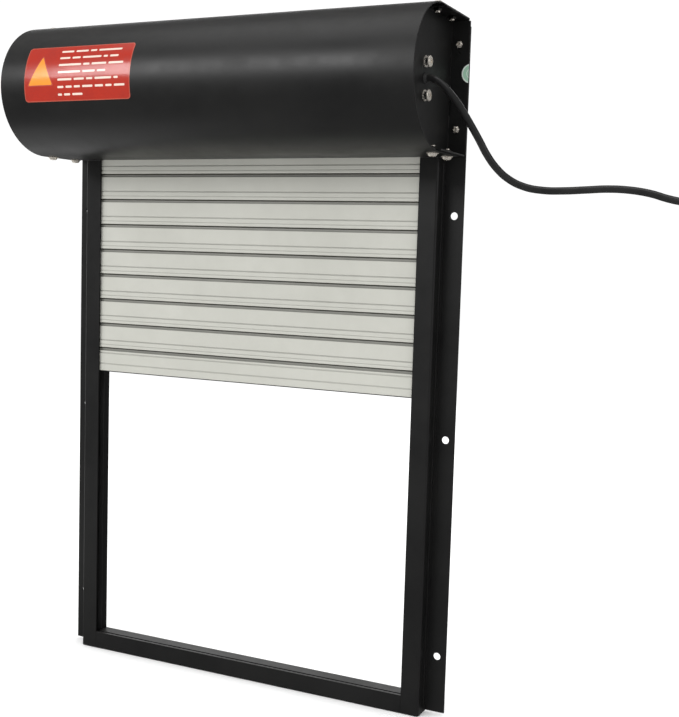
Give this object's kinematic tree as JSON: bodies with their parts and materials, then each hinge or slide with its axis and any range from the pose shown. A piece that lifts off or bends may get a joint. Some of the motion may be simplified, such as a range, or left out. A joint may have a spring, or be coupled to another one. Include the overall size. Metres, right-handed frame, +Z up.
{
  "type": "motorised roller shutter door",
  "caption": "Small wall-mounted roller shutter door: slatted curtain in guide rails, half-round housing with roll and tubular motor.",
  "frame": {"origin": "middle of the frame's bottom edge, on the wall plane behind the sill bar", "axes": "+X to the right seen from the front, +Y into the wall, +Z up along the guide rails"},
  "size_m": [0.636, 0.1197, 0.602],
  "materials": {
    "rail_black": "satin black powder coat on an aluminium extrusion",
    "plate_black": "satin black powder coat on sheet steel",
    "cover_black": "satin black powder coat with a fine texture",
    "slat_grey": "satin light grey coating with fine roll lines",
    "fastener_steel": "bright zinc plate",
    "zinc_steel": "zinc coated steel",
    "felt": "dense black felt pile",
    "grey_plastic": "moulded dark grey plastic",
    "black_plastic": "moulded black plastic",
    "black_rubber": "black rubber",
    "cable_black": "slightly glossy black cable sheath",
    "notice_red": "glossy red printed film, no lettering",
    "dot_green": "glossy pale green film, no lettering"
  },
  "bodies": {
    "frame": {"left_rail": "rail_black", "right_rail": "rail_black", "left_rail_liner": "felt", "right_rail_liner": "felt", "sill_bar": "rail_black", "corner_keys": "grey_plastic", "left_end_plate": "plate_black", "right_end_plate": "plate_black", "back_plate": "plate_black", "cover_shell": "cover_black", "cover_screws": "fastener_steel", "cover_nuts": "fastener_steel", "flange_screws": "fastener_steel", "left_guide_mouth": "grey_plastic", "right_guide_mouth": "grey_plastic", "idler_bearing": "grey_plastic", "bearing_rivets": "fastener_steel", "motor_head": "black_plastic", "motor_tube": "zinc_steel", "motor_gearbox": "grey_plastic", "motor_can": "zinc_steel", "motor_end_cap": "black_plastic", "motor_washers": "fastener_steel", "motor_bushes": "black_rubber", "motor_screws": "fastener_steel", "cable_grommet": "black_rubber", "cable": "cable_black", "cable_plug": "black_plastic", "wall_socket": "black_plastic", "socket_screws": "fastener_steel", "notice_plate": "notice_red", "inspection_dot": "dot_green"},
    "curtain": {"slat_1": "slat_grey", "slat_2": "slat_grey", "slat_3": "slat_grey", "slat_4": "slat_grey", "slat_5": "slat_grey", "slat_6": "slat_grey", "slat_7": "slat_grey", "slat_8": "slat_grey", "hidden_slats": "slat_grey", "end_slat": "slat_grey", "end_slat_seal": "black_rubber", "end_slat_plugs": "black_plastic", "slat_end_locks": "black_plastic"},
    "barrel": {"barrel_tube": "zinc_steel", "wound_slats": "slat_grey", "roll_straps": "zinc_steel", "strap_rivets": "fastener_steel", "drive_wheel": "grey_plastic", "output_shaft": "zinc_steel", "limit_crown": "grey_plastic", "idler_cap": "grey_plastic", "idler_pin": "zinc_steel"}
  },
  "joints": [
    {"name": "curtain_travel", "type": "slide", "parent": "frame", "child": "curtain", "axis": [0, 0, 1], "range_m": [-0.05, 0.05]},
    {"name": "barrel_spin", "type": "hinge", "parent": "frame", "child": "barrel", "pos_m": [0, -0.061, 0.541], "axis": [1, 0, 0], "range_deg": [-80.7, 80.7]}
  ],
  "couplings": [
    {"joint": "barrel_spin", "follows": "curtain_travel", "rad_per_m": 28.066}
  ]
}
